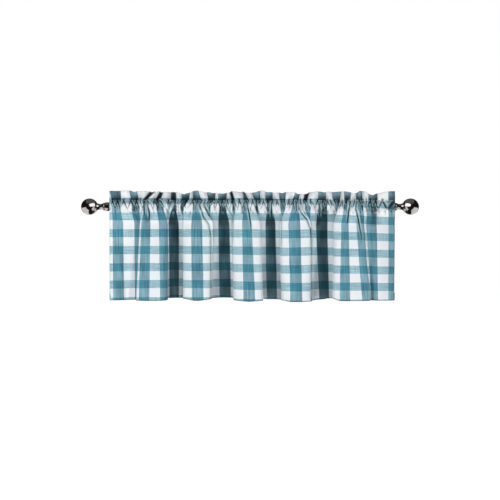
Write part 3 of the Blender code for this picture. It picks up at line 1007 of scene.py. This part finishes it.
def gingham_material(settings):
    """Yarn-dyed cotton gingham in plain weave, with slubs.

    Dyed and undyed yarns cross, so the cloth shows four tones: both white, both blue,
    and a lighter and a darker mix. It is matt, with a faint bloom at grazing angles.
    """
    material = bpy.data.materials.new("yarn-dyed cotton gingham")
    material.use_nodes = True
    tree = material.node_tree
    shader = tree.nodes["Principled BSDF"]
    uv = add_node(tree, "ShaderNodeUVMap", uv_map="cloth")
    wander = streaks(tree, uv.outputs[0], EDGE_WANDER_WIDTH, EDGE_WANDER_LENGTH, 2)
    wander = add_node(tree, "ShaderNodeMapRange", {
        "Value": wander, "From Min": 0.0, "From Max": 1.0, "To Min": -EDGE_WANDER, "To Max": EDGE_WANDER,
    })
    parts = add_node(tree, "ShaderNodeSeparateXYZ", {0: uv.outputs[0]})
    across = add_node(tree, "ShaderNodeMath", {0: parts.outputs[0], 1: wander.outputs[0]}, operation="ADD")
    along = add_node(tree, "ShaderNodeMath", {0: parts.outputs[1], 1: wander.outputs[0]}, operation="ADD")
    warp = stripe_mask(tree, across.outputs[0])
    weft = row_mask(tree, along.outputs[0])

    # Four tones of crossed yarns
    over_white = add_node(tree, "ShaderNodeMix", {
        0: warp, 6: linear(settings.white_tone), 7: linear(settings.blue_warp_tone),
    }, data_type="RGBA")
    over_blue = add_node(tree, "ShaderNodeMix", {
        0: warp, 6: linear(settings.blue_weft_tone), 7: linear(settings.blue_tone),
    }, data_type="RGBA")
    dyed = add_node(tree, "ShaderNodeMix", {0: weft, 6: over_white.outputs[2], 7: over_blue.outputs[2]},
                    data_type="RGBA")

    # Slubs: uneven yarn shows as streaks down the warp and across the weft, only on dyed cloth
    down = streaks(tree, uv.outputs[0], WARP_SLUB_WIDTH, WARP_SLUB_LENGTH, 3)
    level = streaks(tree, uv.outputs[0], WEFT_SLUB_LENGTH, WEFT_SLUB_WIDTH, 3)
    both = add_node(tree, "ShaderNodeMath", {0: warp, 1: weft}, operation="MAXIMUM")
    crossed = add_node(tree, "ShaderNodeMapRange", {
        "Value": warp, "To Min": WARP_SHARE_ON_WHITE, "To Max": WARP_SHARE_ON_BLUE,
    })
    slub = add_node(tree, "ShaderNodeMix", {0: crossed.outputs[0], 2: level, 3: down})
    tone = add_node(tree, "ShaderNodeMapRange", {
        "Value": slub.outputs[0], "From Min": 0.3, "From Max": 0.7, "To Min": SLUB_DARK, "To Max": SLUB_LIGHT,
    })
    tone = add_node(tree, "ShaderNodeMix", {0: both.outputs[0], 2: 1.0, 3: tone.outputs[0]})
    coloured = add_node(tree, "ShaderNodeVectorMath", {0: dyed.outputs[2], 1: tone.outputs[0]},
                        operation="MULTIPLY")

    # The painted shade: a curve from the deepest groove to the highest place, gentler on
    # white yarn, where more light is thrown about
    groove = add_node(tree, "ShaderNodeAttribute", attribute_name="groove")
    cavity = add_node(tree, "ShaderNodeMapRange", {
        "Value": groove.outputs["Fac"], "From Min": -1.0, "From Max": 1.0, "To Min": 1.0, "To Max": 0.0,
    })
    cavity = add_node(tree, "ShaderNodeFloatCurve", {"Value": cavity.outputs[0]})
    curve = cavity.mapping.curves[0]
    curve.points[0].location = (0.0, GROOVE_LIGHT)
    curve.points[1].location = (1.0, CREST_LIGHT)
    curve.points.new(0.5, FLAT_LIGHT)
    cavity.mapping.update()
    lit = add_node(tree, "ShaderNodeMath", {0: cavity.outputs[0], 1: EVEN_LIGHT}, operation="MULTIPLY")
    gentle = add_node(tree, "ShaderNodeMix", {0: WHITE_SHADE_SHARE, 2: 1.0, 3: lit.outputs[0]})
    lit = add_node(tree, "ShaderNodeMix", {0: both.outputs[0], 2: gentle.outputs[0], 3: lit.outputs[0]})
    coloured = add_node(tree, "ShaderNodeVectorMath", {0: coloured.outputs[0], 1: lit.outputs[0]},
                        operation="MULTIPLY")

    # The painted highlights
    crest = add_node(tree, "ShaderNodeAttribute", attribute_name="crest")
    crest = add_node(tree, "ShaderNodeMath", {0: crest.outputs["Fac"], 1: HIGHLIGHT_STRENGTH},
                     operation="MULTIPLY")
    coloured = add_node(tree, "ShaderNodeMix", {
        0: crest.outputs[0], 6: coloured.outputs[0], 7: linear(HIGHLIGHT_TONE),
    }, data_type="RGBA")
    coloured = add_node(tree, "ShaderNodeVectorMath", {0: coloured.outputs[2], 1: BRIGHTEST},
                        operation="MINIMUM")
    tree.links.new(coloured.outputs[0], shader.inputs["Base Color"])

    # The weave's relief is the product of two sines, with the slubs standing out of it
    wave = add_node(tree, "ShaderNodeVectorMath", {
        0: uv.outputs[0], 1: (2 * math.pi / WEAVE_PITCH, 2 * math.pi / WEAVE_PITCH, 1.0),
    }, operation="MULTIPLY")
    wave = add_node(tree, "ShaderNodeSeparateXYZ", {0: wave.outputs[0]})
    ends = add_node(tree, "ShaderNodeMath", {0: wave.outputs[0]}, operation="SINE")
    picks = add_node(tree, "ShaderNodeMath", {0: wave.outputs[1]}, operation="SINE")
    weave = add_node(tree, "ShaderNodeMath", {0: ends.outputs[0], 1: picks.outputs[0]}, operation="MULTIPLY")
    relief = add_node(tree, "ShaderNodeMath", {0: slub.outputs[0], 1: SLUB_RELIEF, 2: weave.outputs[0]},
                      operation="MULTIPLY_ADD")
    bump = add_node(tree, "ShaderNodeBump", {
        "Height": relief.outputs[0], "Strength": 0.5, "Distance": WEAVE_HEIGHT,
    })
    tree.links.new(bump.outputs[0], shader.inputs["Normal"])
    shader.inputs["Roughness"].default_value = 0.88
    shader.inputs["Specular IOR Level"].default_value = 0.25
    shader.inputs["Sheen Weight"].default_value = 0.12
    shader.inputs["Sheen Roughness"].default_value = 0.5
    return material


def nickel_material(settings):
    """Dark nickel plate on turned steel, polished.

    It mirrors its surroundings darkly, with a faint brushed haze round the axis.
    """
    material = bpy.data.materials.new("polished dark nickel plate")
    material.use_nodes = True
    tree = material.node_tree
    shader = tree.nodes["Principled BSDF"]
    place = add_node(tree, "ShaderNodeTexCoord")
    mapping = add_node(tree, "ShaderNodeMapping", {
        "Vector": place.outputs["Object"], "Scale": (1 / (0.5 * MM), 1 / (12 * MM), 1 / (12 * MM)),
    })
    haze = add_node(tree, "ShaderNodeTexNoise", {"Vector": mapping.outputs[0], "Scale": 1.0, "Detail": 2.0})
    rough = add_node(tree, "ShaderNodeMapRange", {
        "Value": haze.outputs[0], "From Min": 0.3, "From Max": 0.7,
        "To Min": settings.roughness * 0.75, "To Max": settings.roughness * 1.35,
    })
    tree.links.new(rough.outputs[0], shader.inputs["Roughness"])
    smudge = add_node(tree, "ShaderNodeTexNoise", {
        "Vector": place.outputs["Object"], "Scale": 1 / (18 * MM), "Detail": 3.0,
    })
    colour = add_node(tree, "ShaderNodeMix", {
        0: smudge.outputs[0], 6: linear(settings.dark_tone), 7: linear(settings.light_tone),
    }, data_type="RGBA")
    tree.links.new(colour.outputs[2], shader.inputs["Base Color"])
    shader.inputs["Metallic"].default_value = 1.0
    return material


def turned_surface(profile, side, centre_x):
    """Points and faces of a closed solid turned round X from (radius, distance) rows.

    The first and last rows lie on the axis and become one point each. A point is
    (centre - side * distance, radius * sin(a), radius * cos(a)).
    """
    angle = np.linspace(0, 2 * np.pi, TURN_STEPS, endpoint=False)
    radius = profile[1:-1, 0][:, None]
    distance = np.broadcast_to(profile[1:-1, 1][:, None], (len(radius), TURN_STEPS))
    rings = np.stack([
        centre_x - side * distance,
        radius * np.sin(angle),
        radius * np.cos(angle),
    ], axis=2).reshape(-1, 3)
    poles = np.array([[centre_x - side * profile[i, 1], 0.0, 0.0] for i in (0, -1)])
    points = np.concatenate((rings, poles))
    ring = np.arange(len(radius) - 1)[:, None] * TURN_STEPS
    here = np.arange(TURN_STEPS)[None, :]
    after = (here + 1) % TURN_STEPS
    quads = np.stack([ring + here, ring + after, ring + TURN_STEPS + after, ring + TURN_STEPS + here], axis=2)
    first, last = len(rings), len(rings) + 1
    here, after = here[0], after[0]
    end = (len(radius) - 1) * TURN_STEPS
    start_fan = np.stack([np.full(TURN_STEPS, first), after, here], axis=1)
    end_fan = np.stack([np.full(TURN_STEPS, last), end + here, end + after], axis=1)
    faces = [quads.reshape(-1, 4), start_fan, end_fan]
    if side < 0:
        faces = [part[:, ::-1] for part in faces]
    return points, [face for part in faces for face in part]


def ball_profile():
    """The ball from its outer pole round to the flat on the neck."""
    flat_angle = math.acos(-BALL_FLAT / BALL_RADIUS)
    angle = np.linspace(0.0, flat_angle, BALL_ARC_STEPS)
    arc = np.stack([BALL_RADIUS * np.sin(angle), -BALL_RADIUS * np.cos(angle)], axis=1)
    return np.concatenate((arc, [[0.0, BALL_FLAT]]))


def neck_profile():
    """Flange, hollow waist, round bead and collar, from the ball towards the rod.

    The waist is a curve through its points and the bead a half ellipse.
    """
    flange = BALL_FLAT + FIT_GAP
    flange_edge = NECK_FLANGE_RADIUS - 0.5 * MM
    waist = curve_through(np.array([
        (flange_edge, flange), (NECK_FLANGE_RADIUS, flange + 0.6 * MM),
        (NECK_FLANGE_RADIUS - 0.3 * MM, flange + 2.2 * MM), (NECK_WAIST_RADIUS + 0.5 * MM, flange + 7 * MM),
        (NECK_WAIST_RADIUS, flange + 12 * MM), (NECK_WAIST_RADIUS + 0.4 * MM, flange + 17 * MM),
        (NECK_BEAD_RADIUS - 1.6 * MM, flange + 20.5 * MM),
    ]), 30)
    turn = np.linspace(0.12 * np.pi, 0.92 * np.pi, 14)
    bead_middle = flange + 24 * MM
    bead = np.stack([
        NECK_BEAD_RADIUS - 2.2 * MM + 2.2 * MM * np.sin(turn),
        bead_middle - 3.2 * MM * np.cos(turn),
    ], axis=1)
    collar_start = flange + 28 * MM
    edge = 0.6 * MM
    collar = np.array([
        (NECK_COLLAR_RADIUS - edge, collar_start),
        (NECK_COLLAR_RADIUS - 0.2 * edge, collar_start + 0.3 * edge),
        (NECK_COLLAR_RADIUS, collar_start + edge),
        (NECK_COLLAR_RADIUS, NECK_END - edge),
        (NECK_COLLAR_RADIUS - 0.2 * edge, NECK_END - 0.3 * edge),
        (NECK_COLLAR_RADIUS - edge, NECK_END),
    ])
    return np.concatenate(([[0.0, flange]], waist, bead, collar, [[0.0, NECK_END]]))


def make_finials(settings):
    """A ball and its neck at each end of the rod, mirror images of each other."""
    material = nickel_material(settings)
    made = []
    for side, word in ((-1, "left"), (1, "right")):
        for part, profile in (("ball", ball_profile()), ("neck", neck_profile())):
            points, faces = turned_surface(profile, side, side * BALL_CENTRE)
            name = "finial_" + part + "_" + word
            piece = new_piece("polished_" + name, points, faces, material, [name])
            piece.data.set_sharp_from_angle(angle=math.radians(50))
            made.append(piece)
    rod = frame["nodes"]["rod"]
    rod.data.materials.clear()
    rod.data.materials.append(material)
    return made


# Lights, each a square panel aimed at a point: place, aim, side length, power and colour
Panel = namedtuple("Panel", "name place aim size power colour")
PANELS = (
    Panel("left", (-3.68, -3.09, -0.57), (0.0, 0.0, -0.12), 0.8, 172.0, "#FFFFFF"),
    Panel("right", (3.68, -3.09, -0.57), (0.0, 0.0, -0.12), 0.8, 152.0, "#FFFFFF"),
    Panel("front", (0.0, -2.6, -0.6), (0.0, 0.0, -0.12), 1.6, 32.0, "#FFFFFF"),
    Panel("overhead", (0.0, -0.5, 2.0), (0.0, 0.0, -0.12), 1.4, 4.0, "#FFFFFF"),
    Panel("behind", (0.0, 2.2, 1.4), (0.0, 0.0, -0.12), 1.6, 80.0, "#FFFFFF"),
)

# Rectangular lights that shine on the metal alone, as it mirrors its own surroundings:
# place, aim, width, height and brightness
Mirrored = namedtuple("Mirrored", "name place aim width height glow")
MIRRORED = (
    Mirrored("window for the left ball", (-0.16, -0.26, 0.19), (-0.53, 0.0, 0.0), 0.85, 0.36, 5.0),
    Mirrored("window for the right ball", (0.16, -0.26, 0.19), (0.53, 0.0, 0.0), 0.85, 0.36, 5.0),
    Mirrored("low wall on the left", (-1.25, -0.1, -0.72), (-0.53, 0.0, 0.0), 2.2, 1.5, 2.6),
    Mirrored("low wall on the right", (1.25, -0.1, -0.72), (0.53, 0.0, 0.0), 2.2, 1.5, 2.6),
    Mirrored("ceiling", (0.0, 0.0, 1.6), (0.0, 0.0, 0.0), 3.2, 3.2, 0.35),
    Mirrored("low back wall", (0.0, 1.0, -0.5), (0.0, 0.0, 0.0), 2.4, 0.8, 1.6),
)

# The surroundings' light on the cloth and in the metal
AMBIENT = (0.022, 0.032, 0.038, 1.0)
AMBIENT_MIRRORED = (0.03, 0.03, 0.03, 1.0)
FLOOR_Z = -0.75
FLOOR_RADIUS = 6.0
FLOOR_SIDES = 96

# The width of the picture at the rod, the eye's height and how far down the picture lies
PICTURE_WIDTH = 1.655
SENSOR_WIDTH = 36.0
EYE_HEIGHT = -0.067
PICTURE_SHIFT = -0.046


def aim(thing, target):
    """Turns a light or camera so that it looks at a point."""
    thing.rotation_euler = (Vector(target) - thing.location).to_track_quat("-Z", "Y").to_euler()


def make_lights():
    """Soft square panels round the valance."""
    for panel in PANELS:
        light = bpy.data.lights.new(panel.name, "AREA")
        light.size = panel.size
        light.energy = panel.power
        light.color = linear(panel.colour)[:3]
        lamp = bpy.data.objects.new(panel.name, light)
        lamp.location = panel.place
        lamp.visible_camera = False
        lamp.visible_glossy = False
        bpy.context.scene.collection.objects.link(lamp)
        aim(lamp, panel.aim)


def make_mirrored_lights():
    """Lights linked to the rod and the finials, which mirror them; the matt cloth gets none."""
    metal = bpy.data.collections.new("mirroring metal")
    for item in bpy.data.objects:
        if item.type == "MESH" and (item.name == "rod" or item.name.startswith("polished")):
            metal.objects.link(item)
    for window in MIRRORED:
        light = bpy.data.lights.new(window.name, "AREA")
        light.shape = "RECTANGLE"
        light.size = window.width
        light.size_y = window.height
        light.energy = window.glow * math.pi * window.width * window.height
        lamp = bpy.data.objects.new(window.name, light)
        lamp.location = window.place
        lamp.visible_camera = False
        lamp.light_linking.receiver_collection = metal
        bpy.context.scene.collection.objects.link(lamp)
        aim(lamp, window.aim)


def make_world():
    """White to the eye, dim as ambient light and darker still in reflections."""
    world = bpy.data.worlds.new("studio")
    world.use_nodes = True
    tree = world.node_tree
    background = tree.nodes["Background"]
    path = add_node(tree, "ShaderNodeLightPath")
    dim = add_node(tree, "ShaderNodeMix", {
        0: path.outputs["Is Glossy Ray"], 6: AMBIENT, 7: AMBIENT_MIRRORED,
    }, data_type="RGBA")
    seen = add_node(tree, "ShaderNodeMix", {
        0: path.outputs["Is Camera Ray"], 6: dim.outputs[2], 7: (1.0, 1.0, 1.0, 1.0),
    }, data_type="RGBA")
    tree.links.new(seen.outputs[2], background.inputs["Color"])
    bpy.context.scene.world = world


def make_floor():
    """A plain white round floor, well below the hem."""
    angle = np.linspace(0, 2 * np.pi, FLOOR_SIDES, endpoint=False)
    level = np.full(FLOOR_SIDES, FLOOR_Z)
    points = np.stack([FLOOR_RADIUS * np.cos(angle), FLOOR_RADIUS * np.sin(angle), level], axis=1)
    mesh = bpy.data.meshes.new("floor")
    mesh.from_pydata(points.tolist(), [], [list(range(FLOOR_SIDES))])
    material = bpy.data.materials.new("white matt floor paint")
    material.use_nodes = True
    shader = material.node_tree.nodes["Principled BSDF"]
    shader.inputs["Base Color"].default_value = linear("#FAFAFA")
    shader.inputs["Roughness"].default_value = 0.9
    shader.inputs["Emission Color"].default_value = (1.0, 1.0, 1.0, 1.0)
    shader.inputs["Emission Strength"].default_value = 1.0
    mesh.materials.append(material)
    floor = bpy.data.objects.new("floor", mesh)
    floor.visible_diffuse = False
    floor.visible_glossy = False
    bpy.context.scene.collection.objects.link(floor)


def make_camera():
    """A level camera a little below the rod, whose picture is moved down to the middle."""
    camera = bpy.data.cameras.new("camera")
    camera.sensor_width = SENSOR_WIDTH
    camera.lens = SENSOR_WIDTH * EYE_DISTANCE / PICTURE_WIDTH
    camera.shift_y = PICTURE_SHIFT
    eye = bpy.data.objects.new("camera", camera)
    eye.location = (0.0, -EYE_DISTANCE, EYE_HEIGHT)
    eye.rotation_euler = (math.pi / 2, 0.0, 0.0)
    bpy.context.scene.collection.objects.link(eye)
    bpy.context.scene.camera = eye


class ValanceClothSettings(bpy.types.PropertyGroup):
    """Sizes and colours of the cloth."""

    thickness: FloatProperty(
        name="Thickness", description="Thickness of the cotton cloth", default=0.6 * MM,
        min=0.2 * MM, max=2 * MM, unit="LENGTH",
    )
    white_tone: StringProperty(name="White", description="White on white yarn", default="#EAEEF1")
    blue_weft_tone: StringProperty(name="Blue weft", description="Blue weft on white warp", default="#A0C3CE")
    blue_warp_tone: StringProperty(name="Blue warp", description="White weft on blue warp", default="#81A7B4")
    blue_tone: StringProperty(name="Blue", description="Blue on blue yarn", default="#498798")


class ValanceMetalSettings(bpy.types.PropertyGroup):
    """Finish of the rod and the finials."""

    roughness: FloatProperty(
        name="Roughness", description="Blur of the reflections", default=0.12, min=0.0, max=1.0,
        subtype="FACTOR",
    )
    dark_tone: StringProperty(name="Dark tone", description="Darker plate", default="#6A6865")
    light_tone: StringProperty(name="Light tone", description="Lighter plate", default="#8A8784")


class VALANCE_OT_cloth(bpy.types.Operator):
    """Hang the gathered cloth on the rod"""

    bl_idname = "valance.cloth"
    bl_label = "Hang cloth"

    def execute(self, context):
        cloth = make_cloth(context.scene.valance_cloth)
        return {"FINISHED"}


class VALANCE_OT_metal(bpy.types.Operator):
    """Turn the finials and finish the rod"""

    bl_idname = "valance.metal"
    bl_label = "Make finials"

    def execute(self, context):
        make_finials(context.scene.valance_metal)
        return {"FINISHED"}


class VALANCE_OT_stage(bpy.types.Operator):
    """Set up the floor, light and camera"""

    bl_idname = "valance.stage"
    bl_label = "Set up stage"

    def execute(self, context):
        make_world()
        make_floor()
        make_lights()
        make_mirrored_lights()
        make_camera()
        context.scene.view_settings.view_transform = "Standard"
        return {"FINISHED"}


class VALANCE_PT_panel(bpy.types.Panel):
    """Lists the steps that make the valance"""

    bl_idname = "VALANCE_PT_panel"
    bl_label = "Gathered valance"
    bl_space_type = "VIEW_3D"
    bl_region_type = "UI"
    bl_category = "Valance"

    def draw(self, context):
        for settings in (context.scene.valance_cloth, context.scene.valance_metal):
            for name in settings.__annotations__:
                self.layout.prop(settings, name)
        for operator in STEPS:
            self.layout.operator(operator.bl_idname)


STEPS = (VALANCE_OT_cloth, VALANCE_OT_metal, VALANCE_OT_stage)
CLASSES = (ValanceClothSettings, ValanceMetalSettings, *STEPS, VALANCE_PT_panel)


def register():
    for item in CLASSES:
        bpy.utils.register_class(item)
    bpy.types.Scene.valance_cloth = PointerProperty(type=ValanceClothSettings)
    bpy.types.Scene.valance_metal = PointerProperty(type=ValanceMetalSettings)


def unregister():
    del bpy.types.Scene.valance_metal
    del bpy.types.Scene.valance_cloth
    for item in reversed(CLASSES):
        bpy.utils.unregister_class(item)


def main():
    register()
    bpy.ops.valance.cloth()
    bpy.ops.valance.metal()
    bpy.ops.valance.stage()
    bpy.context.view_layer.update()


if __name__ == "__main__":
    main()
